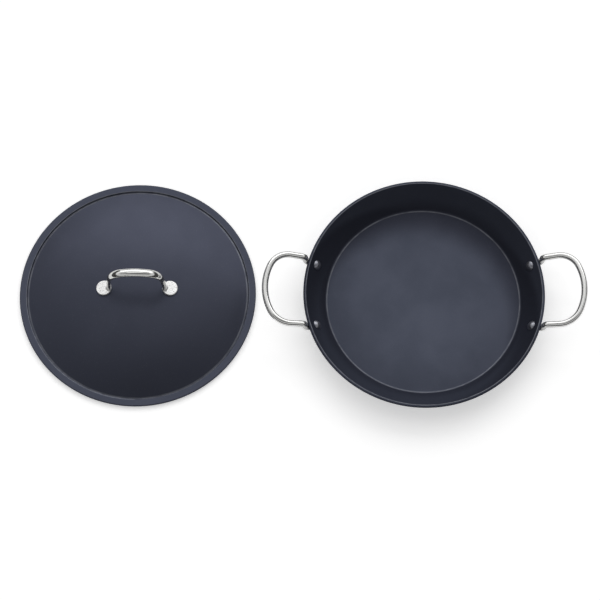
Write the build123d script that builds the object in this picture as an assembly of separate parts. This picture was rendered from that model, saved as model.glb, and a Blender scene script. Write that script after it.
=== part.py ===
"""A shallow seafood pan with two riveted wire handles, and its stepped and domed lid.

All sizes are in millimetres and all angles in degrees. The origin is the centre of the pan's
underside, +Z is up, and +X runs through the right handle. The lid lies beside the pan on the
same table, past the left handle, as it does when it has been taken off.
"""
import os
from math import asin, atan, atan2, cos, degrees, hypot, pi, radians, sin, sqrt, tan

from build123d import *

# The dish of the pan: a flat floor and a flared wall, pressed from one thick disc.
rim_diameter = 300.0
pan_height = 34.0
floor_thickness = 4.0
wall_thickness = 4.0
wall_angle = 50.0             # between the wall and the table
inner_corner = 5.0            # radius where the floor turns up into the wall
outer_corner = 9.0
rim_edge_height = 2.2         # the rim's sharp outer tip is turned off to this upright edge
rim_outer_rounding = 1.6
rim_under_rounding = 0.9
rim_inner_rounding = 1.0

# The wire handles: each is one rod with a bowed bar, two corners and two legs.
rod_diameter = 8.0
handle_reach = 51.2           # from the rim out to the outside of the bar
handle_width = 98.6           # over the outsides of the two legs
handle_rise = 18.0            # from the top of the rim up to the middle of the bar
bar_bow_radius = 70.0
loop_corner_radius = 27.0
bar_straight = 1.0            # straight run between the bow and each corner
bar_pitch = 4.0               # how steeply the outer bar still climbs
leg_splay = 3.0               # how far each leg leans away from the middle

# The root of each leg: it turns down at the rim, and is hammered flat as it bends onto the wall.
root_rise = 6.4               # height above the rim where the leg turns down
root_gap = 0.5                # clearance between the rim and the rod beside it
root_bend_radius = 4.6
neck_above_rim = 2.5          # where the round rod starts to flatten
neck_down_wall = 8.8          # how far down the slope the flattening reaches
neck_bend = 5.0               # length over which the neck bends from upright onto the wall
neck_slices = 10              # how many stages the flattening is drawn in

# The flattened pads that the rivets hold.
pad_width = 14.0
pad_thickness = 4.0
pad_edge_rounding = 1.2
pad_shoulder_radius = 5.4     # the pad narrows towards the rod
pad_shoulder_rise = 6.0       # from the rivet up to the middle of the shoulder
pad_bedding = 0.5             # extra depth that is cut to the curve of the wall

# The rivets through the wall and the pads.
rivet_inset = 9.7             # from the outside of each leg in to its rivet
rivet_drop = 12.8             # from the inner edge of the rim, down the slope
rivet_shank_diameter = 5.0
rivet_hole_clearance = 0.05   # all round the shank
rivet_head_diameter = 12.0
rivet_head_height = 3.6
rivet_head_edge = 0.6         # the upright edge under the dome
set_head_diameter = 10.0
set_head_height = 2.0

# The lid's sheet: a flange that rests on the rim, a step that drops in, and a dome.
lid_diameter = 295.5
lid_thickness = 2.5
lid_flange_width = 8.8
lid_step_depth = 2.5          # from the underside of the flange to the underside of the step
lid_step_draft = 0.8          # how far the step's wall leans in
lid_height = 25.5             # from the table to the crown of the dome
flange_edge_rounding = 0.8
flange_rim_rounding = 1.0
flange_under_rounding = 0.4    # small, so that the flat under it still meets the rim
groove_rounding = 0.9
step_heel_rounding = 1.5
step_toe_rounding = 3.0

# Where the lid lies beside the pan.
lid_gap = 8.0                 # between the left handle and the lid
lid_shift_back = 7.8          # how far the lid lies behind the pan's middle

# The arched handle of the lid and its round feet.
foot_spacing = 82.0
foot_diameter = 19.2
foot_thickness = 2.8
foot_edge_rounding = 0.8
foot_bedding = 0.5            # extra depth that is cut to the curve of the dome
cove_radius = 1.2             # where each leg flows into its foot
arch_inset = 5.0              # from the middle of each foot in to its leg
arch_lean = 4.2               # how far each leg leans in on its way up
arch_height = 54.2            # from the crown of the dome to the middle of the bar's crown
arch_crown = 8.0              # how far the bar climbs from its ends to its middle
arch_corner_radius = 22.0
arch_crown_radius = 47.0
arch_width = 10.2             # at the crown
arch_foot_width = 7.6         # where each leg meets its foot
arch_thickness = 5.0
arch_crowning = 2.2           # how far the top of the strap bulges over its sides
arch_edge_radius = 1.3

# The rivets under the lid's handle, ground flush with the tops of the feet.
lid_rivet_outset = 2.0        # from the middle of each foot out to its rivet
lid_rivet_shank_diameter = 4.0
lid_rivet_flush_diameter = 5.2
lid_rivet_cone_height = 1.0
lid_rivet_head_diameter = 11.0
lid_rivet_head_height = 2.2
lid_rivet_head_edge = 0.5

# Worked out from the sizes above.
slope = radians(wall_angle)
rim_radius = rim_diameter / 2
base_radius = rim_radius - (pan_height - rim_edge_height) / tan(slope)
mouth_radius = base_radius + pan_height / tan(slope) - wall_thickness / sin(slope)
floor_radius = mouth_radius - (pan_height - floor_thickness) / tan(slope)
rod_radius = rod_diameter / 2
rivet_radius = mouth_radius - rivet_drop * cos(slope)
rivet_height = pan_height - rivet_drop * sin(slope)
rivet_spacing = handle_width - 2 * rivet_inset
rivet_azimuth = degrees(asin(rivet_spacing / 2 / rivet_radius))
bar_radius = rim_radius + handle_reach - rod_radius
lid_radius = lid_diameter / 2
lid_x = -(rim_radius + handle_reach + lid_gap + lid_radius)
groove_radius = lid_radius - lid_flange_width - lid_step_draft
dome_rise = lid_height - lid_thickness
arch_span = foot_spacing - 2 * arch_inset
dome_radius = (groove_radius ** 2 + dome_rise ** 2) / (2 * dome_rise)


def rounded(outline, corners):
    """Round the corners of a flat outline, given as pairs of a place and a radius."""
    for place, radius in corners:
        corner = outline.vertices().sort_by_distance(place)[0]
        outline = fillet(corner, radius)
    return outline


def turned(outline):
    """Turn a half outline, drawn as radius and height, into a round solid."""
    return revolve(Plane.XZ * outline, Axis.Z)


def round_head(crown, edge, radius):
    """The curved line of a domed head, from its crown on the axis to its edge."""
    return TangentArc((0, crown), (radius, edge), tangent=(1, 0))


def wall_frame(azimuth):
    """A frame on the inside of the wall at a rivet: X climbs the slope, Z points out of the pan."""
    turn = radians(azimuth)
    out = Vector(cos(turn), sin(turn), 0)
    up = Vector(0, 0, 1)
    return Plane(
        origin=out * rivet_radius + up * rivet_height,
        x_dir=out * cos(slope) + up * sin(slope),
        z_dir=out * sin(slope) - up * cos(slope),
    )


def dish_blank():
    """The pan's dish before it is drilled."""
    inner_foot = (floor_radius, floor_thickness)
    outer_foot = (base_radius, 0)
    inner_lip = (mouth_radius, pan_height)
    outer_lip = (rim_radius, pan_height)
    under_lip = (rim_radius, pan_height - rim_edge_height)
    inside = [inner_lip, inner_foot, (0, floor_thickness)]
    outline = make_face(Polyline((0, 0), outer_foot, under_lip, outer_lip, *inside, close=True))
    corners = [
        (inner_foot, inner_corner),
        (outer_foot, outer_corner),
        (inner_lip, rim_inner_rounding),
        (outer_lip, rim_outer_rounding),
        (under_lip, rim_under_rounding),
    ]
    return turned(rounded(outline, corners))


def rivet_hole(azimuth):
    """The hole for one rivet, right through the wall and the pad."""
    depth = wall_thickness + pad_thickness
    hole_radius = rivet_shank_diameter / 2 + rivet_hole_clearance
    frame = wall_frame(azimuth).offset(-depth)
    return extrude(frame * Circle(hole_radius), 3 * depth)


def rivet(azimuth, drilled_dish):
    """A rivet: a domed head inside the pan, a shank, and a set head on the pad."""
    head_radius = rivet_head_diameter / 2
    set_radius = set_head_diameter / 2
    shank_radius = rivet_shank_diameter / 2
    pad_face = wall_thickness + pad_thickness
    profile = [
        round_head(-rivet_head_height, -rivet_head_edge, head_radius),
        Polyline(
            (head_radius, -rivet_head_edge),
            (head_radius, 0),
            (shank_radius, 0),
            (shank_radius, pad_face),
            (set_radius, pad_face),
            (set_radius, pad_face + rivet_head_edge),
        ),
        round_head(pad_face + set_head_height, pad_face + rivet_head_edge, set_radius),
        Line((0, pad_face + set_head_height), (0, -rivet_head_height)),
    ]
    body = turned(make_face(profile))
    return wall_frame(azimuth).location * body - drilled_dish


def loop_corner():
    """Plan places of the loop: where the leg and the bar would meet, and where the bow would peak."""
    half_width = handle_width / 2 - rod_radius
    bow_centre = bar_radius - bar_bow_radius
    radius_step = bar_bow_radius - loop_corner_radius
    corner_centre_y = half_width - loop_corner_radius
    bow_angle = asin(corner_centre_y / hypot(radius_step, bar_straight)) - atan(bar_straight / radius_step)
    corner_centre_x = bow_centre + radius_step * cos(bow_angle) - bar_straight * sin(bow_angle)
    half_turn = (radians(90 + leg_splay) - bow_angle) / 2
    toward_vertex = bow_angle + half_turn
    reach = loop_corner_radius / cos(half_turn)
    corner = (corner_centre_x + reach * cos(toward_vertex), corner_centre_y + reach * sin(toward_vertex))
    peak_x = bow_centre + bar_bow_radius / cos(bow_angle)
    return corner, peak_x


def leg_top(corner):
    """Plan place where a leg, coming in from its corner, turns down outside the rim."""
    heading = (-cos(radians(leg_splay)), -sin(radians(leg_splay)))
    reach = rim_radius + root_gap + rod_radius
    along = corner[0] * heading[0] + corner[1] * heading[1]
    run = -along - sqrt(along ** 2 - (corner[0] ** 2 + corner[1] ** 2 - reach ** 2))
    return corner[0] + run * heading[0], corner[1] + run * heading[1]


def rod_path():
    """The middle line of the right handle's rod, from the top of the back neck to the front one."""
    corner, peak_x = loop_corner()
    top = leg_top(corner)
    bar_height = pan_height + handle_rise
    climb = tan(radians(bar_pitch))
    half = [
        Vector(top[0], top[1], pan_height + neck_above_rim),
        Vector(top[0], top[1], pan_height + root_rise),
        Vector(corner[0], corner[1], bar_height - (bar_radius - corner[0]) * climb),
    ]
    peak = Vector(peak_x, 0, bar_height + (peak_x - bar_radius) * climb)
    other_half = [Vector(point.X, -point.Y, point.Z) for point in reversed(half)]
    bends = [root_bend_radius, loop_corner_radius]
    return FilletPolyline(half + [peak] + other_half, radius=bends + [bar_bow_radius] + bends[::-1])


def pad(azimuth):
    """The flattened end of the rod: a tapered pad that lies on the wall, round its rivet."""
    frame = wall_frame(azimuth)
    bed = frame.offset(wall_thickness - pad_bedding)
    outline = make_hull(
        Circle(pad_width / 2).edges() + (Pos(pad_shoulder_rise, 0) * Circle(pad_shoulder_radius)).edges()
    )
    plate = extrude(bed * outline, pad_thickness + pad_bedding)
    outer_face = plate.faces().sort_by_distance(frame.origin + frame.z_dir * (wall_thickness + pad_thickness))[0]
    return fillet(outer_face.edges(), pad_edge_rounding)


def eased(share):
    """Ease a share from 0 to 1 in and out."""
    share = min(max(share, 0), 1)
    return (1 - cos(pi * share)) / 2


def neck(rod_azimuth, pad_azimuth):
    """Where the round rod is hammered flat: it hugs the rim's edge and grows wider and thinner to the pad."""
    upright = neck_above_rim + rim_edge_height
    edge_height = pan_height - rim_edge_height
    up = Vector(0, 0, 1)
    sections = []
    for step in range(neck_slices + 1):
        share = step / neck_slices
        flatness = eased(share)
        below_edge = share * (upright + neck_down_wall) - upright
        turn = radians(rod_azimuth + flatness * (pad_azimuth - rod_azimuth))
        out = Vector(cos(turn), sin(turn), 0)
        side = Vector(-sin(turn), cos(turn), 0)
        on_wall = max(below_edge, 0)
        above = max(-below_edge, 0)
        inner = out * (rim_radius - on_wall * cos(slope)) + up * (edge_height + above - on_wall * sin(slope))
        tilt = eased(below_edge / neck_bend + 0.5) * (pi / 2 - slope)
        off_wall = out * cos(tilt) - up * sin(tilt)
        half_width = rod_radius + flatness * (pad_shoulder_radius - rod_radius)
        half_depth = rod_radius + flatness * (pad_thickness / 2 - rod_radius)
        gap = root_gap * (1 - flatness)
        place = Plane(origin=inner + off_wall * (half_depth + gap), x_dir=side, z_dir=off_wall.cross(side) * -1)
        sections.append(place * Ellipse(half_width, half_depth))
    return loft(sections)


def handle(blank):
    """The right handle: a bent rod whose flattened ends lie on the wall."""
    path = rod_path()
    start = Plane(origin=path @ 0, z_dir=path % 0)
    body = sweep(start * Circle(rod_radius), path=path)
    leg_place = path @ 0
    leg_azimuth = degrees(atan2(leg_place.Y, leg_place.X))
    for side in (1, -1):
        body += neck(side * leg_azimuth, side * rivet_azimuth) + pad(side * rivet_azimuth)
    body -= blank
    for side in (1, -1):
        body -= rivet_hole(side * rivet_azimuth)
    return body


def dome_frame(distance):
    """A frame on top of the dome, this far from its middle along X: Z points straight out of the dome."""
    lean = asin(distance / dome_radius)
    centre_height = lid_height - dome_radius
    normal = Vector(sin(lean), 0, cos(lean))
    return Plane(
        origin=Vector(0, 0, centre_height) + normal * dome_radius,
        x_dir=Vector(cos(lean), 0, -sin(lean)),
        z_dir=normal,
    )


def lid_blank():
    """The lid's sheet before it is drilled, standing at the origin."""
    flange_top = lid_step_depth + lid_thickness
    flange_inner = lid_radius - lid_flange_width
    inner_dome_radius = dome_radius - lid_thickness
    centre_height = lid_height - dome_radius
    toe_radius = sqrt(inner_dome_radius ** 2 - centre_height ** 2)
    groove = (groove_radius, lid_thickness)
    flange_edge = (flange_inner, flange_top)
    top_rim = (lid_radius, flange_top)
    low_rim = (lid_radius, lid_step_depth)
    shoulder = (flange_inner + lid_thickness, lid_step_depth)
    heel = (groove_radius + lid_thickness, 0)
    toe = (toe_radius, 0)
    outline = make_face(
        [
            round_head(lid_height, lid_thickness, groove_radius),
            Polyline(groove, flange_edge, top_rim, low_rim, shoulder, heel, toe),
            round_head(lid_height - lid_thickness, 0, toe_radius),
            Line((0, lid_height - lid_thickness), (0, lid_height)),
        ]
    )
    corners = [
        (groove, groove_rounding),
        (flange_edge, flange_edge_rounding),
        (top_rim, flange_rim_rounding),
        (low_rim, flange_under_rounding),
        (shoulder, flange_edge_rounding),
        (heel, step_heel_rounding),
        (toe, step_toe_rounding),
    ]
    return turned(rounded(outline, corners))


def under_dome():
    """Everything below the top of the dome, filled in, to trim what stands on it."""
    outline = make_face(
        [
            round_head(lid_height, lid_thickness, groove_radius),
            Polyline((groove_radius, lid_thickness), (groove_radius, 0), (0, 0), (0, lid_height)),
        ]
    )
    return turned(outline)


def lid_rivet_outline(clearance):
    """Half outline of a lid rivet's shank and flush end, from inside the lid to the top of the foot."""
    shank_radius = lid_rivet_shank_diameter / 2 + clearance
    flush_radius = lid_rivet_flush_diameter / 2 + clearance
    cone_foot = foot_thickness - lid_rivet_cone_height
    return [(shank_radius, -lid_thickness), (shank_radius, cone_foot), (flush_radius, foot_thickness)]


def lid_rivet_place(distance):
    """Where a lid rivet stands: in the frame of its foot, moved out from the leg of the arch."""
    outset = lid_rivet_outset if distance > 0 else -lid_rivet_outset
    return dome_frame(distance).location * Pos(outset, 0)


def lid_rivet_hole(distance):
    """The countersunk hole for one lid rivet, through the foot and the dome."""
    side = lid_rivet_outline(rivet_hole_clearance)
    below = (side[0][0], -2 * lid_thickness)
    above = (side[-1][0], 2 * foot_thickness)
    outline = Polyline((0, below[1]), below, *side[1:], above, (0, above[1]), close=True)
    return lid_rivet_place(distance) * turned(make_face(outline))


def lid_rivet(distance, drilled_lid):
    """A lid rivet: a domed head inside the lid, and an end ground flush with the foot."""
    side = lid_rivet_outline(0)
    head_radius = lid_rivet_head_diameter / 2
    seat = -lid_thickness
    outline = [
        round_head(seat - lid_rivet_head_height, seat - lid_rivet_head_edge, head_radius),
        Polyline((head_radius, seat - lid_rivet_head_edge), (head_radius, seat), *side, (0, foot_thickness)),
        Line((0, foot_thickness), (0, seat - lid_rivet_head_height)),
    ]
    body = turned(make_face(outline))
    return lid_rivet_place(distance) * body - drilled_lid


def cove_edges(body):
    """The edges where the legs of the arch meet the flat tops of their feet."""
    flat_radius = foot_diameter / 2 - foot_edge_rounding
    found = []
    for distance in (-foot_spacing / 2, foot_spacing / 2):
        frame = dome_frame(distance)
        for edge in body.edges():
            place = frame.to_local_coords(edge @ 0.5)
            on_top = abs(place.Z - foot_thickness) < 0.01
            if on_top and hypot(place.X, place.Y) < flat_radius - 0.01:
                found.append(edge)
    return found


def arch_section(width):
    """The strap's section at one place: a crowned outer side, rounded edges and a flat inner side."""
    half_width = width / 2
    half_thickness = arch_thickness / 2
    shoulder = half_thickness - arch_crowning
    sides = Polyline(
        (-half_width, shoulder),
        (-half_width, -half_thickness),
        (half_width, -half_thickness),
        (half_width, shoulder),
    )
    crown = ThreePointArc((half_width, shoulder), (0, half_thickness), (-half_width, shoulder))
    outline = make_face([sides, crown])
    return fillet(outline.vertices(), arch_edge_radius)


def arch_band(path):
    """The strap of the arch, narrower at its feet than at its crown."""
    sections = []
    for share, width in ((0, arch_foot_width), (0.5, arch_width), (1, arch_foot_width)):
        place = Plane(origin=path @ share, x_dir=(0, 1, 0), z_dir=path % share)
        sections.append(place * arch_section(width))
    return sweep(sections, path=path, multisection=True)


def lid_handle():
    """The lid's handle: an arch on two round feet that are bedded on the dome."""
    half_span = arch_span / 2
    half_bar = half_span - arch_lean
    crown_vertex = lid_height + arch_height + arch_crown_radius * (1 / cos(atan2(arch_crown, half_bar)) - 1)
    start_height = lid_height - half_span ** 2 / dome_radius
    path = FilletPolyline(
        (-half_span, 0, start_height),
        (-half_bar, 0, crown_vertex - arch_crown),
        (0, 0, crown_vertex),
        (half_bar, 0, crown_vertex - arch_crown),
        (half_span, 0, start_height),
        radius=[arch_corner_radius, arch_crown_radius, arch_corner_radius],
    )
    body = arch_band(path)
    for distance in (-foot_spacing / 2, foot_spacing / 2):
        frame = dome_frame(distance)
        foot = extrude(frame.offset(-foot_bedding) * Circle(foot_diameter / 2), foot_thickness + foot_bedding)
        top = foot.faces().sort_by_distance(frame.origin + frame.z_dir * foot_thickness)[0]
        body += fillet(top.edges(), foot_edge_rounding)
    body = fillet(cove_edges(body), cove_radius)
    for distance in (-foot_spacing / 2, foot_spacing / 2):
        body -= lid_rivet_hole(distance)
    return body - under_dome()


def build_pan():
    """Every piece of the pan, by name."""
    back_right = rivet_azimuth
    azimuths = {
        "rivet_right_back": back_right,
        "rivet_right_front": -back_right,
        "rivet_left_back": 180 - back_right,
        "rivet_left_front": 180 + back_right,
    }
    blank = dish_blank()
    dish = blank
    for azimuth in azimuths.values():
        dish -= rivet_hole(azimuth)
    right_handle = handle(blank)
    pieces = {
        "pan_body": dish,
        "right_handle": right_handle,
        "left_handle": mirror(right_handle, Plane.YZ),
    }
    for name, azimuth in azimuths.items():
        pieces[name] = rivet(azimuth, dish)
    return pieces


def build_lid():
    """Every piece of the lid, by name, moved to where the lid lies."""
    plate = lid_blank()
    distances = {"lid_rivet_left": -foot_spacing / 2, "lid_rivet_right": foot_spacing / 2}
    for distance in distances.values():
        plate -= lid_rivet_hole(distance)
    pieces = {"lid_plate": plate, "lid_handle": lid_handle()}
    for name, distance in distances.items():
        pieces[name] = lid_rivet(distance, plate)
    return {name: Pos(lid_x, lid_shift_back, 0) * piece for name, piece in pieces.items()}


os.makedirs("parts", exist_ok=True)
for node, piece in (build_pan() | build_lid()).items():
    export_step(piece, f"parts/{node}.step")
    print(f"{node}: {len(piece.solids())} solid, {piece.volume:.1f} cubic mm")
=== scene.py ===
# %% [markdown]
# # A seafood pan with two wire handles, and its lid
# The pan is a shallow dish of thick aluminium, hard-anodised to a dark blue-grey satin. Two loops of
# polished steel rod are riveted to its flared wall. The lid lies beside it, with a stepped edge, a low
# dome and a cast arch for a handle. This lesson dresses the exact metal parts, which another program
# has made, with finishes, and then lights and photographs them as a studio would.

# %% Load the metal parts
from math import cos, pi, radians, sin

import bpy
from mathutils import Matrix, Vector


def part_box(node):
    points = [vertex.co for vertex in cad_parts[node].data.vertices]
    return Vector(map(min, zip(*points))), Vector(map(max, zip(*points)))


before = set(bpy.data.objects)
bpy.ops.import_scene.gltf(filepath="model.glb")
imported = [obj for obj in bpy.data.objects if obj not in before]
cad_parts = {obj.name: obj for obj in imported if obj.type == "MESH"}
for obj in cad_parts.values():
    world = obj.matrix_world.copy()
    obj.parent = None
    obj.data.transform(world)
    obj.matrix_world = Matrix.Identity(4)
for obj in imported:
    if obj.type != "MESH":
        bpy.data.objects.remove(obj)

for thing in bpy.context.selected_objects:
    thing.select_set(False)
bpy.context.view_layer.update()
print("parts:", ", ".join(sorted(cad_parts)))

# %% Sizes that more than one step uses
MM = 0.001
pan_top_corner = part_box("pan_body")[1]
lid_low, lid_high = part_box("lid_plate")
rim_radius = pan_top_corner.x
lid_centre = (lid_low + lid_high) / 2
lid_radius = (lid_high.x - lid_low.x) / 2
print(f"pan: {2 * rim_radius / MM:.0f} mm across, {pan_top_corner.z / MM:.0f} mm deep")
print(f"lid: {2 * lid_radius / MM:.1f} mm across, its middle at x {lid_centre.x / MM:.1f} mm")

# %% [markdown]
# The photograph was taken from high above the front with a long lens, so the two round edges are nearly
# the same size and only a little flattened. A camera needs a place, a direction and a focal length.
# These could be typed in as they are, but it is easier to name the point that the camera looks at, how
# far away it is, and how steeply above the table. Each of these can then be judged by eye on its own.

# %% Camera
CAMERA_TARGET = Vector((-0.1540, 0.0021, 0))
CAMERA_DISTANCE = 3.400
CAMERA_ELEVATION = radians(69.56)
CAMERA_AZIMUTH = radians(0.21)
CAMERA_LENS = 162.9           # millimetres
SENSOR_WIDTH = 36             # millimetres
FARTHEST_SEEN = 50            # metres


def direction(azimuth, elevation):
    """The way from the table to a place: azimuth 0 is in front, and it grows to the right."""
    return Vector((sin(azimuth) * cos(elevation), -cos(azimuth) * cos(elevation), sin(elevation)))


toward_camera = direction(CAMERA_AZIMUTH, CAMERA_ELEVATION)
camera = bpy.data.objects.new("camera", bpy.data.cameras.new("camera"))
camera.data.lens = CAMERA_LENS
camera.data.sensor_width = SENSOR_WIDTH
camera.data.clip_end = FARTHEST_SEEN
camera.location = CAMERA_TARGET + toward_camera * CAMERA_DISTANCE
camera.rotation_euler = (-toward_camera).to_track_quat("-Z", "Y").to_euler()
bpy.context.scene.collection.objects.link(camera)
bpy.context.scene.camera = camera
print("camera at", [round(value, 3) for value in camera.location])

# %% [markdown]
# Every finish here is a tree of shader nodes. By hand the nodes are dragged in and wired with the
# mouse. In a script a tree is easier to read when each node is made and wired in one line, so a small
# helper takes the node's type, its settings and what is plugged into it, and a few more name the nodes
# that are used most.

# %% Helpers that add one node
def add_node(tree, kind, inputs=(), **settings):
    """Add a node, set its settings, and fill its inputs with values or with another node's output."""
    node = tree.nodes.new(kind)
    for name, value in settings.items():
        setattr(node, name, value)
    for name, value in dict(inputs).items():
        if isinstance(value, bpy.types.NodeSocket):
            tree.links.new(value, node.inputs[name])
        else:
            node.inputs[name].default_value = value
    return node


def maths(tree, operation, first, second=0.0):
    """A Math node, by its operation and its two numbers, and its output."""
    return add_node(tree, "ShaderNodeMath", {0: first, 1: second}, operation=operation).outputs[0]


def remap(tree, value, low, high, to_low=0.0, to_high=1.0):
    """Ease a value that runs from low to high into another range."""
    node = add_node(
        tree,
        "ShaderNodeMapRange",
        {"Value": value, "From Min": low, "From Max": high, "To Min": to_low, "To Max": to_high},
        interpolation_type="SMOOTHSTEP",
    )
    return node.outputs["Result"]


def noise(tree, vector, scale, detail=2.0, roughness=0.5):
    """Cloudy noise, as a value around a half."""
    node = add_node(
        tree,
        "ShaderNodeTexNoise",
        {"Vector": vector, "Scale": scale, "Detail": detail, "Roughness": roughness},
    )
    return node.outputs["Fac"]


RAMP_REACH = 160 * MM         # a little more than the radius of the pan's rim


def ramp(tree, reach, stops):
    """A share that eases from stop to stop, each a pair of a distance up to RAMP_REACH and a share.

    A new ramp has two stops of its own, so at least two are given.
    """
    scaled = maths(tree, "DIVIDE", reach, RAMP_REACH)
    node = add_node(tree, "ShaderNodeValToRGB", {"Fac": scaled})
    node.color_ramp.interpolation = "EASE"
    while len(node.color_ramp.elements) < len(stops):
        node.color_ramp.elements.new(0.5)
    for element, (distance, share) in zip(node.color_ramp.elements, stops):
        element.position = distance / RAMP_REACH
        element.color = (share, share, share, 1)
    return node.outputs["Color"]


def mix_colour(tree, share, first, second):
    """Blend two colours by a share from 0 to 1.

    A Mix node has sockets for numbers too, and its colours are inputs 6 and 7 and output 2.
    """
    return add_node(tree, "ShaderNodeMix", {0: share, 6: first, 7: second}, data_type="RGBA").outputs[2]


print("helpers: add_node, maths, remap, noise, ramp, mix_colour")


# %% Helpers that start and place materials and groups
def new_material(name):
    """A material with only its output node, and its tree."""
    material = bpy.data.materials.new(name)
    material.use_nodes = True
    tree = material.node_tree
    tree.nodes.clear()
    add_node(tree, "ShaderNodeOutputMaterial", name="output")
    return material, tree


def show(tree, shader):
    """Plug a shader into the material's output."""
    tree.links.new(shader.outputs[0], tree.nodes["output"].inputs["Surface"])


def new_group(name, inputs, outputs):
    """A reusable node group with named sockets, its tree, and its two end nodes."""
    tree = bpy.data.node_groups.new(name, "ShaderNodeTree")
    for title, kind in inputs:
        tree.interface.new_socket(title, in_out="INPUT", socket_type=kind)
    for title, kind in outputs:
        tree.interface.new_socket(title, in_out="OUTPUT", socket_type=kind)
    return tree, tree.nodes.new("NodeGroupInput").outputs, tree.nodes.new("NodeGroupOutput").inputs


def place_group(tree, group, inputs):
    """Put a node group into a material, fill its inputs, and give its outputs."""
    return add_node(tree, "ShaderNodeGroup", inputs, node_tree=group).outputs


def dress(node_name, material):
    """Give a metal part its finish."""
    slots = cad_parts[node_name].data.materials
    slots.clear()
    slots.append(material)


FLOAT, VECTOR = "NodeSocketFloat", "NodeSocketVector"
print("helpers: new_material, show, new_group, place_group, dress")

# %% [markdown]
# Hard anodising grows a layer of oxide on the aluminium. It is never quite even: broad soft clouds show
# where the bath was a little warmer, and the surface has a fine tooth that breaks up reflections. Both
# the pan and the lid need this, so it is a node group, built once. It could be painted on, but noise in
# the object's own coordinates has no seams and no limit of detail. The group puts out a cloud value,
# which will shift colour and roughness, a grain value, which will go to a Bump node as a height, and a
# value for sparse pale specks, which are twice as coarse as the grain.

# %% Node group: clouds and grain of an anodised surface
anodising, start, end = new_group(
    "anodised_clouds",
    [("Vector", VECTOR), ("Cloud Scale", FLOAT), ("Grain Scale", FLOAT)],
    [("Cloud", FLOAT), ("Grain", FLOAT), ("Speck", FLOAT)],
)
broad = noise(anodising, start["Vector"], start["Cloud Scale"], detail=6, roughness=0.60)
anodising.links.new(remap(anodising, broad, 0.3, 0.7), end["Cloud"])
fine = noise(anodising, start["Vector"], start["Grain Scale"], detail=3, roughness=0.65)
anodising.links.new(fine, end["Grain"])
half_scale = maths(anodising, "MULTIPLY", start["Grain Scale"], 0.5)
flecks = noise(anodising, start["Vector"], half_scale, detail=1)
HIGHEST_PEAKS = (0.62, 0.78)  # noise stays near a half, so few places reach this far
anodising.links.new(remap(anodising, flecks, *HIGHEST_PEAKS), end["Speck"])
print("group:", anodising.name)

# %% [markdown]
# Handling rubs the edges of a pan first: its rim, the ring round its floor and the step of the lid go
# paler and a little smoother. The paler colour there is partly that wear and partly a painted highlight,
# where these rounded edges catch the light. Edges can be found by their sharpness, but each of these is
# a ring round a middle, which is exact and quick. One node group measures how far a point is from that
# middle, and another puts out 1 on a ring of a given radius and width. Noise breaks the ring up, so that
# the wear and the painted highlight aren't perfect.

# %% Node group: distance from the upright axis
from_axis, start, end = new_group("from_axis", [("Vector", VECTOR)], [("Reach", FLOAT)])
flat = add_node(from_axis, "ShaderNodeVectorMath", {0: start["Vector"], 1: (1, 1, 0)}, operation="MULTIPLY")
length = add_node(from_axis, "ShaderNodeVectorMath", {0: flat.outputs[0]}, operation="LENGTH")
from_axis.links.new(length.outputs["Value"], end["Reach"])
print("group:", from_axis.name)

# %% Node group: a ring of wear and painted highlight
wear_and_highlight_ring, start, end = new_group(
    "wear_and_highlight_ring",
    [("Vector", VECTOR), ("Reach", FLOAT), ("Radius", FLOAT), ("Half Width", FLOAT), ("Softness", FLOAT)],
    [("Mask", FLOAT)],
)
off_line = maths(wear_and_highlight_ring, "ABSOLUTE", maths(wear_and_highlight_ring, "SUBTRACT", start["Reach"], start["Radius"]))
outer = maths(wear_and_highlight_ring, "ADD", start["Half Width"], start["Softness"])
line = remap(wear_and_highlight_ring, off_line, start["Half Width"], outer, 1.0, 0.0)
RING_BREAK_SCALE = 90.0
LEAST_WEAR_AND_HIGHLIGHT = 0.55
# Noise breaks up both the wear and the painted highlight of the ring.
broken = noise(wear_and_highlight_ring, start["Vector"], RING_BREAK_SCALE, detail=4)
patches = remap(wear_and_highlight_ring, broken, 0.30, 0.60, LEAST_WEAR_AND_HIGHLIGHT, 1.0)
wear_and_highlight_ring.links.new(maths(wear_and_highlight_ring, "MULTIPLY", line, patches), end["Mask"])
print("group:", wear_and_highlight_ring.name)

# %% [markdown]
# The satin itself is one Principled shader. It could be a dark coat over bright metal, but one metal
# with a dark blue-grey tint gives the same broad sheen with fewer parts. It is mostly metallic, because
# the oxide is thin and the aluminium shines through it. The clouds shift the tint and the roughness by
# a few percent, the grain is a fine bump, and rings mix in a paler, smoother metal, which is partly wear
# and partly painted highlight. On the pan the colour is painted deeper towards the edge of the floor and
# on the walls, as painted shade, and deeper still towards the far side, as a painted shadow of the far
# wall. On the lid it is deeper on the dome than on the flange, with painted shade on the outer edge. The
# pan and the lid share the recipe, but their rings and their depth of colour differ, so a function makes
# the material for each.

# %% Hard-anodised aluminium
SATIN_DARK = (0.090, 0.101, 0.137, 1)
SATIN_PALE = (0.102, 0.113, 0.152, 1)
SATIN_DEEP = (0.031, 0.033, 0.048, 1)
# A paler satin for the specks and for the rings, where it is partly wear and partly painted highlight.
SATIN_WORN_AND_HIGHLIGHT = (0.260, 0.270, 0.300, 1)
SATIN_EDGE_TINT = (0.80, 0.85, 1.0, 1)
SATIN_METALLIC = 0.85
CLOUD_SCALE = 14.0
CLOUD_ROUGHNESS = 0.02        # how far the clouds shift the roughness each way
GRAIN_SCALE = 1400.0
GRAIN_HEIGHT = 0.05 * MM
GRAIN_STRENGTH = 0.10
SPECK_SHARE = 0.06
WEAR_SMOOTHS = 0.08           # how much smoother a fully worn ring is


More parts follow.
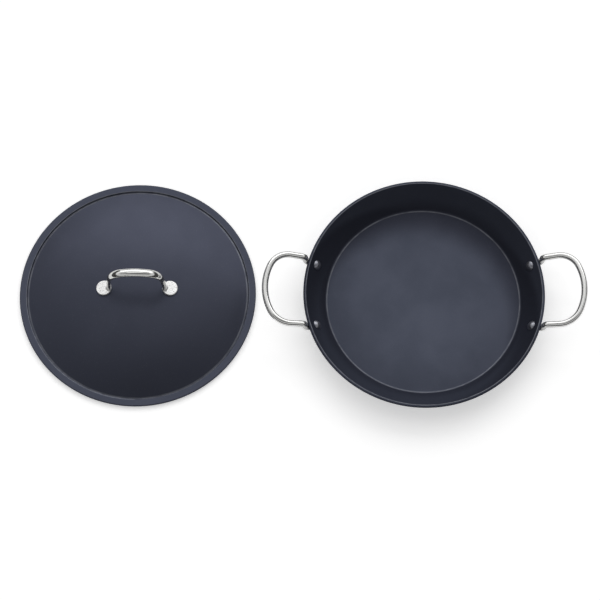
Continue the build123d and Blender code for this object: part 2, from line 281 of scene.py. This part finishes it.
def anodised(name, centre, rings, depths, far_side_shade, drift, roughness):
    """Satin metal with clouds, grain, pale specks, and rings of wear and painted highlight round a centre.

    A ring is its radius, half width, softness and share. Depths are pairs of a radius and the share of
    the deeper colour there. The far side shade gives more such pairs, round a centre that lies off the
    middle by minus the drift, and the deeper of the two holds. On the pan the deeper colour is painted
    shade, and the far side shade is a painted shadow of its far wall.
    """
    material, tree = new_material(name)
    place = add_node(tree, "ShaderNodeTexCoord").outputs["Object"]
    centred = add_node(tree, "ShaderNodeMapping", {"Vector": place, "Location": (-centre.x, -centre.y, 0)})
    centred = centred.outputs["Vector"]
    surface = place_group(
        tree,
        anodising,
        {"Vector": centred, "Cloud Scale": CLOUD_SCALE, "Grain Scale": GRAIN_SCALE},
    )
    colour = mix_colour(tree, surface["Cloud"], SATIN_DARK, SATIN_PALE)
    reach = place_group(tree, from_axis, {"Vector": centred})["Reach"]
    drifted = add_node(tree, "ShaderNodeMapping", {"Vector": centred, "Location": drift}).outputs["Vector"]
    depth_reach = place_group(tree, from_axis, {"Vector": drifted})["Reach"]
    # The deeper colour is painted shade; off the centre it is a painted shadow of the pan's far wall.
    depth = maths(tree, "MAXIMUM", ramp(tree, reach, depths), ramp(tree, depth_reach, far_side_shade))
    colour = mix_colour(tree, depth, colour, SATIN_DEEP)
    rough = remap(
        tree,
        surface["Cloud"],
        0.0,
        1.0,
        roughness + CLOUD_ROUGHNESS,
        roughness - CLOUD_ROUGHNESS,
    )
    # Each ring mixes in the paler satin: partly wear, partly painted highlight.
    for radius, half_width, softness, share in rings:
        inputs = {
            "Vector": centred,
            "Reach": reach,
            "Radius": radius,
            "Half Width": half_width,
            "Softness": softness,
        }
        mask = maths(tree, "MULTIPLY", place_group(tree, wear_and_highlight_ring, inputs)["Mask"], share)
        colour = mix_colour(tree, mask, colour, SATIN_WORN_AND_HIGHLIGHT)
        rough = maths(tree, "SUBTRACT", rough, maths(tree, "MULTIPLY", mask, WEAR_SMOOTHS))
    speck = maths(tree, "MULTIPLY", surface["Speck"], SPECK_SHARE)
    colour = mix_colour(tree, speck, colour, SATIN_WORN_AND_HIGHLIGHT)
    bump = add_node(
        tree,
        "ShaderNodeBump",
        {"Height": surface["Grain"], "Strength": GRAIN_STRENGTH, "Distance": GRAIN_HEIGHT},
    )
    shader = add_node(
        tree,
        "ShaderNodeBsdfPrincipled",
        {
            "Base Color": colour,
            "Metallic": SATIN_METALLIC,
            "Roughness": rough,
            "Specular Tint": SATIN_EDGE_TINT,
            "Normal": bump.outputs["Normal"],
        },
    )
    show(tree, shader)
    return material


print(f"satin: clouds about {1 / CLOUD_SCALE / MM:.0f} mm across, grain {1 / GRAIN_SCALE / MM:.1f} mm")

# %% Finish of the pan
RIM_INNER_EDGE = 3.1 * MM
FLOOR_EDGE_RADIUS = 120.6 * MM
WALL_FOOT_RADIUS = 122.5 * MM
pan_satin = anodised(
    "anodised_pan",
    centre=Vector((0, 0, 0)),
    # Rings at the rim's inner edge and at the edge of the floor: partly wear, partly painted highlight.
    rings=[
        (rim_radius - RIM_INNER_EDGE, 0.3 * MM, 0.4 * MM, 0.6),
        (FLOOR_EDGE_RADIUS, 0.5 * MM, 0.6 * MM, 0.45),
    ],
    # Painted shade: the floor darkens towards its edge, and the walls are darker still.
    depths=[
        (0.0, 0.03),
        (64 * MM, 0.08),
        (119.5 * MM, 0.36),
        (WALL_FOOT_RADIUS, 0.82),
        (136 * MM, 0.54),
    ],
    # Painted shadow of the far wall: darker towards the far right of the floor, the walls and the rim.
    far_side_shade=[
        (0.0, 0.04),
        (100 * MM, 0.16),
        (138 * MM, 0.84),
        (147 * MM, 0.88),
        (156 * MM, 0.50),
    ],
    drift=(9 * MM, 25 * MM, 0),
    roughness=0.66,
)
dress("pan_body", pan_satin)
print("material:", pan_satin.name)

# %% Finish of the lid
LID_FLANGE_WIDTH = 8.8 * MM
LID_STEP_MIDDLE = 1.0 * MM    # from the flange's inner edge in to the middle of the step
LID_STEP_FOOT = 2.0 * MM      # and in to its foot
LID_STEP_FADE = 0.5 * MM      # how far the dome's deeper colour takes to give way to the flange's
# Painted shade on the lid's rounded outer edge, which deepens to full at its rim.
LID_EDGE_SHADE_STARTS = 0.6 * MM     # from the lid's edge in, where the colour begins to deepen
LID_EDGE_SHADE_FULL = 0.1 * MM       # and where it is deepest
flange_inner_radius = lid_radius - LID_FLANGE_WIDTH
lid_dome_radius = flange_inner_radius - LID_STEP_MIDDLE
lid_satin = anodised(
    "anodised_lid",
    centre=lid_centre,
    rings=[
        # Rings at the flange's inner edge and at the foot of the step: partly wear, partly painted
        # highlight.
        (flange_inner_radius, 0.4 * MM, 0.4 * MM, 0.6),
        (flange_inner_radius - LID_STEP_FOOT, 0.5 * MM, 0.8 * MM, 0.4),
    ],
    depths=[
        # Darker on the dome than on the flange, and painted shade on the rounded outer edge.
        (0.0, 0.76),
        (lid_dome_radius, 0.78),
        (lid_dome_radius + LID_STEP_FADE, 0.54),
        (lid_radius - LID_EDGE_SHADE_STARTS, 0.54),
        (lid_radius - LID_EDGE_SHADE_FULL, 1.0),
    ],
    far_side_shade=[(0.0, 0.0), (RAMP_REACH, 0.0)],
    drift=(0, 0, 0),
    roughness=0.39,
)
dress("lid_plate", lid_satin)
print("material:", lid_satin.name)

# %% [markdown]
# The loops and the arch are stainless steel, buffed until they mirror the room. A perfect mirror would
# be one number, but it looks false: fingers leave faint smears that raise the roughness in soft
# patches, and buffing leaves hairlines. One group gives both, and serves the rods and the bright strap
# of the arch.

# %% Node group: smears and hairlines of buffed steel
buffing, start, end = new_group(
    "buffed_smears",
    [("Vector", VECTOR), ("Smear Scale", FLOAT), ("Hairline Scale", FLOAT)],
    [("Smear", FLOAT), ("Hairline", FLOAT)],
)
smear = noise(buffing, start["Vector"], start["Smear Scale"], detail=3, roughness=0.6)
buffing.links.new(remap(buffing, smear, 0.40, 0.72), end["Smear"])
HAIRLINE_STRETCH = (1.0, 0.12, 0.6)  # a small number draws the hairlines out along that axis
stretched = add_node(
    buffing,
    "ShaderNodeMapping",
    {"Vector": start["Vector"], "Scale": HAIRLINE_STRETCH},
)
hair = noise(buffing, stretched.outputs["Vector"], start["Hairline Scale"], detail=2, roughness=0.7)
buffing.links.new(hair, end["Hairline"])
print("group:", buffing.name)

# %% Polished steel rods
STEEL = (0.72, 0.72, 0.71, 1)
STEEL_SMEARED = (0.66, 0.66, 0.65, 1)
STEEL_METALLIC = 0.92
ROD_ROUGHNESS = (0.04, 0.10)  # clean and smeared
HAIRLINE_SCALE = 2500.0
HAIRLINE_HEIGHT = 0.02 * MM
HAIRLINE_STRENGTH = 0.03
ROD_SMEAR_SCALE = 45.0
polished, tree = new_material("polished_steel")
place = add_node(tree, "ShaderNodeTexCoord").outputs["Object"]
marks = place_group(
    tree,
    buffing,
    {"Vector": place, "Smear Scale": ROD_SMEAR_SCALE, "Hairline Scale": HAIRLINE_SCALE},
)
bump = add_node(
    tree,
    "ShaderNodeBump",
    {"Height": marks["Hairline"], "Strength": HAIRLINE_STRENGTH, "Distance": HAIRLINE_HEIGHT},
)
shader = add_node(
    tree,
    "ShaderNodeBsdfPrincipled",
    {
        "Base Color": mix_colour(tree, marks["Smear"], STEEL, STEEL_SMEARED),
        "Metallic": STEEL_METALLIC,
        "Roughness": remap(tree, marks["Smear"], 0.0, 1.0, *ROD_ROUGHNESS),
        "Normal": bump.outputs["Normal"],
    },
)
show(tree, shader)
dress("left_handle", polished)
dress("right_handle", polished)
print("material:", polished.name)

# %% [markdown]
# The lid's arch is one casting, but only the strap is buffed bright. Its two round feet are
# bead-blasted to a pale speckled satin, and so are the ends of the rivets that are ground flush with
# them. The mesh could be given two materials, face by face, but the feet lie below a known height, so a
# mask by height tells the two finishes apart and fades softly from one to the other.

# %% The lid's arch and its satin feet
FOOT_TOP = 27.5 * MM
FOOT_FADE = 0.8 * MM          # height over which the satin gives way to the polish
SATIN_STEEL = (0.93, 0.93, 0.92, 1)
SATIN_STEEL_PITS = (0.50, 0.50, 0.51, 1)
GRIT_SCALE = 800.0
GRIT_HEIGHT = 0.08 * MM
GRIT_STRENGTH = 0.35
BLASTED_ROUGHNESS = (0.30, 0.42)
ARCH_SMEAR_SCALE = 60.0
ARCH_ROUGHNESS = (0.08, 0.14)


def blasted_steel(tree, place):
    """Colour, roughness and height of bead-blasted steel."""
    grit = noise(tree, place, GRIT_SCALE, detail=3, roughness=0.6)
    colour = mix_colour(tree, remap(tree, grit, 0.48, 0.66), SATIN_STEEL, SATIN_STEEL_PITS)
    return colour, remap(tree, grit, 0.3, 0.7, *BLASTED_ROUGHNESS), grit


arch_steel, tree = new_material("arch_steel")
place = add_node(tree, "ShaderNodeTexCoord").outputs["Object"]
marks = place_group(
    tree,
    buffing,
    {"Vector": place, "Smear Scale": ARCH_SMEAR_SCALE, "Hairline Scale": HAIRLINE_SCALE},
)
height = add_node(tree, "ShaderNodeSeparateXYZ", {"Vector": place}).outputs["Z"]
on_foot = remap(tree, height, FOOT_TOP, FOOT_TOP + FOOT_FADE, 1.0, 0.0)
satin_colour, satin_rough, grit = blasted_steel(tree, place)
bright_rough = remap(tree, marks["Smear"], 0.0, 1.0, *ARCH_ROUGHNESS)
rough_step = maths(tree, "MULTIPLY", on_foot, maths(tree, "SUBTRACT", satin_rough, bright_rough))
bump_hair = add_node(
    tree,
    "ShaderNodeBump",
    {"Height": marks["Hairline"], "Strength": HAIRLINE_STRENGTH, "Distance": HAIRLINE_HEIGHT},
)
bump_grit = add_node(
    tree,
    "ShaderNodeBump",
    {
        "Height": maths(tree, "MULTIPLY", grit, on_foot),
        "Strength": GRIT_STRENGTH,
        "Distance": GRIT_HEIGHT,
        "Normal": bump_hair.outputs["Normal"],
    },
)
bright_colour = mix_colour(tree, marks["Smear"], STEEL, STEEL_SMEARED)
shader = add_node(
    tree,
    "ShaderNodeBsdfPrincipled",
    {
        "Base Color": mix_colour(tree, on_foot, bright_colour, satin_colour),
        "Metallic": STEEL_METALLIC,
        "Roughness": maths(tree, "ADD", bright_rough, rough_step),
        "Normal": bump_grit.outputs["Normal"],
    },
)
show(tree, shader)
dress("lid_handle", arch_steel)
print("material:", arch_steel.name)

# %% Rivets of the lid, flush with the feet
RIVET_END_DULLER = 0.12       # how much more of the pits' colour they have than the feet
flush_rivet, tree = new_material("flush_rivet")
place = add_node(tree, "ShaderNodeTexCoord").outputs["Object"]
satin_colour, satin_rough, grit = blasted_steel(tree, place)
bump = add_node(tree, "ShaderNodeBump", {"Height": grit, "Strength": GRIT_STRENGTH, "Distance": GRIT_HEIGHT})
shader = add_node(
    tree,
    "ShaderNodeBsdfPrincipled",
    {
        "Base Color": mix_colour(tree, RIVET_END_DULLER, satin_colour, SATIN_STEEL_PITS),
        "Metallic": 1.0,
        "Roughness": satin_rough,
        "Normal": bump.outputs["Normal"],
    },
)
show(tree, shader)
dress("lid_rivet_left", flush_rivet)
dress("lid_rivet_right", flush_rivet)
print("material:", flush_rivet.name)

# %% [markdown]
# The pan's four rivets are anodised like the dish but are smoother, because a rivet is turned and
# tumbled before it is coated. They catch small bright highlights on dark domes. The dish's own material
# would be too coarse on heads this small, so they have the same group of clouds and grain at a much
# finer scale.

# %% Dark rivets
RIVET_DARK = (0.19, 0.195, 0.225, 1)
RIVET_RUBBED = (0.36, 0.365, 0.40, 1)
RIVET_METALLIC = 0.9
RIVET_ROUGHNESS = (0.28, 0.38)
RIVET_CLOUD_SCALE = 220.0
RIVET_GRAIN_SCALE = 2200.0
RIVET_GRAIN_HEIGHT = 0.03 * MM
RIVET_GRAIN_STRENGTH = 0.06
dark_rivet, tree = new_material("dark_rivet")
place = add_node(tree, "ShaderNodeTexCoord").outputs["Object"]
surface = place_group(
    tree,
    anodising,
    {"Vector": place, "Cloud Scale": RIVET_CLOUD_SCALE, "Grain Scale": RIVET_GRAIN_SCALE},
)
bump = add_node(
    tree,
    "ShaderNodeBump",
    {"Height": surface["Grain"], "Strength": RIVET_GRAIN_STRENGTH, "Distance": RIVET_GRAIN_HEIGHT},
)
shader = add_node(
    tree,
    "ShaderNodeBsdfPrincipled",
    {
        "Base Color": mix_colour(tree, surface["Cloud"], RIVET_DARK, RIVET_RUBBED),
        "Metallic": RIVET_METALLIC,
        "Roughness": remap(tree, surface["Cloud"], 0.0, 1.0, *RIVET_ROUGHNESS),
        "Normal": bump.outputs["Normal"],
    },
)
show(tree, shader)
pan_rivets = [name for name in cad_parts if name.startswith("rivet_")]
for name in pan_rivets:
    dress(name, dark_rivet)
print("rivets dressed:", len(pan_rivets))

# %% [markdown]
# The table is a sheet of white paper. Paper that is lit at a plain level shows as pale grey, and a
# photographer would light it on its own until it is white. Stronger lamps would do that here too, but
# they would bleach the metal. A weak glow on top of the paper's colour does it instead: the camera sees
# it in full, the rays that metal throws back see a part of it, and no other ray does. The paper keeps
# its soft shadows.

# %% Floor
FLOOR_SIZE = 40.0
FLOOR_COLOUR = (0.84, 0.84, 0.84, 1)
FLOOR_BELOW = 0.2 * MM        # just under the parts, so that no two faces share a plane
FLOOR_LIFT = 0.46             # as the camera sees it
FLOOR_LIFT_IN_METAL = 0.32    # as it shows in the metal
bpy.ops.mesh.primitive_plane_add(size=FLOOR_SIZE, location=(0, 0, -FLOOR_BELOW))
floor = bpy.context.object
floor.name = "floor"
bpy.ops.object.transform_apply(location=True, rotation=True, scale=True)
paper, tree = new_material("white_paper")
rays = add_node(tree, "ShaderNodeLightPath").outputs
seen = maths(tree, "MULTIPLY", rays["Is Camera Ray"], FLOOR_LIFT)
mirrored = maths(tree, "MULTIPLY", rays["Is Glossy Ray"], FLOOR_LIFT_IN_METAL)
lift = add_node(
    tree,
    "ShaderNodeEmission",
    {"Color": (1, 1, 1, 1), "Strength": maths(tree, "ADD", seen, mirrored)},
)
matt = add_node(tree, "ShaderNodeBsdfDiffuse", {"Color": FLOOR_COLOUR})
both = add_node(tree, "ShaderNodeAddShader", {0: matt.outputs[0], 1: lift.outputs[0]})
show(tree, both)
floor.data.materials.append(paper)
print(f"floor: {FLOOR_SIZE:.0f} m across")

# %% [markdown]
# A satin surface shows the light's direction as a soft gradient, and a polished rod shows the light
# itself as a bright band with crisp edges. In the photograph the lid is brightest at its far side, and
# inside the pan the near wall, which slopes towards the back, is brighter than the far wall. Both tell
# of a light behind the parts, so the main lamp is a wide softbox there, with a smaller and dimmer one
# overhead. A sun lamp would be simpler, but its highlight on steel is a dot. Both softboxes are far
# away, to light the table evenly.

# %% Softboxes
LAMP_DISTANCE = 10.0


def softbox(name, azimuth, elevation, size, radiance):
    """A rectangular lamp that faces the table, as bright all over as radiance says."""
    data = bpy.data.lights.new(name, "AREA")
    data.shape = "RECTANGLE"
    data.size, data.size_y = size
    data.energy = radiance * pi * size[0] * size[1]
    lamp = bpy.data.objects.new(name, data)
    toward_lamp = direction(radians(azimuth), radians(elevation))
    lamp.location = CAMERA_TARGET + toward_lamp * LAMP_DISTANCE
    lamp.rotation_euler = (-toward_lamp).to_track_quat("-Z", "Y").to_euler()
    bpy.context.scene.collection.objects.link(lamp)
    print(f"{name}: {data.energy:.0f} W")


softbox("back_softbox", azimuth=172, elevation=35, size=(14.0, 7.6), radiance=1.26)
softbox("top_softbox", azimuth=196, elevation=78, size=(8.4, 5.0), radiance=0.62)

# %% [markdown]
# The rest of the studio is dim, and polished metal mirrors all of it. The thin dark line along each
# bright rod is the dark lower part of the studio's walls. Real walls could stand round the table, but
# the world does the same with a few nodes: a plain grey that is paler behind the parts, a band of
# lighter wall between a black skirting and a dim ceiling, and white where the camera itself sees it. In
# a world, Generated is the direction that a ray leaves in, so its Z is 0 at the horizon and 1 overhead.

# %% World
WORLD_NEAR = 0.16             # in front
WORLD_FAR = 0.62              # behind
BRIGHTEST_WAY = (-0.05, 0.94, 0.34)
WALL_LIGHT = 0.52
SKIRTING_TOP = 0.50
SKIRTING_FADE = 0.04
SKIRTING_SHADE = 0.03         # the share of light that is left there
CEILING_STARTS, CEILING_FULL = 0.70, 0.92
world = bpy.data.worlds.new("studio")
world.use_nodes = True
bpy.context.scene.world = world
tree = world.node_tree
tree.nodes.clear()
where = add_node(tree, "ShaderNodeTexCoord").outputs["Generated"]
toward_back = add_node(tree, "ShaderNodeVectorMath", {0: where, 1: BRIGHTEST_WAY}, operation="DOT_PRODUCT")
room = remap(tree, toward_back.outputs["Value"], 0.0, 1.0, WORLD_NEAR, WORLD_FAR)
is_camera = add_node(tree, "ShaderNodeLightPath").outputs["Is Camera Ray"]
height = add_node(tree, "ShaderNodeSeparateXYZ", {"Vector": where}).outputs["Z"]
skirting_ends = (SKIRTING_TOP - SKIRTING_FADE, SKIRTING_TOP + SKIRTING_FADE)
above_skirting = remap(tree, height, *skirting_ends, SKIRTING_SHADE, 1.0)
below_ceiling = remap(tree, height, CEILING_STARTS, CEILING_FULL, 1.0, 0.0)
walls = maths(tree, "MULTIPLY", below_ceiling, WALL_LIGHT)
room = maths(tree, "ADD", room, walls)
room = maths(tree, "MULTIPLY", room, above_skirting)
strength = maths(tree, "MAXIMUM", room, is_camera)
background = add_node(tree, "ShaderNodeBackground", {"Color": (1, 1, 1, 1), "Strength": strength})
add_node(tree, "ShaderNodeOutputWorld", {"Surface": background.outputs[0]})

bpy.context.scene.view_settings.view_transform = "Standard"
print(f"world: {WORLD_NEAR} in front, {WORLD_FAR} behind, and {WALL_LIGHT} more on the walls")

# %% [markdown]
# At the end, nothing is left selected.

# %% Finish
bpy.ops.object.select_all(action="DESELECT")
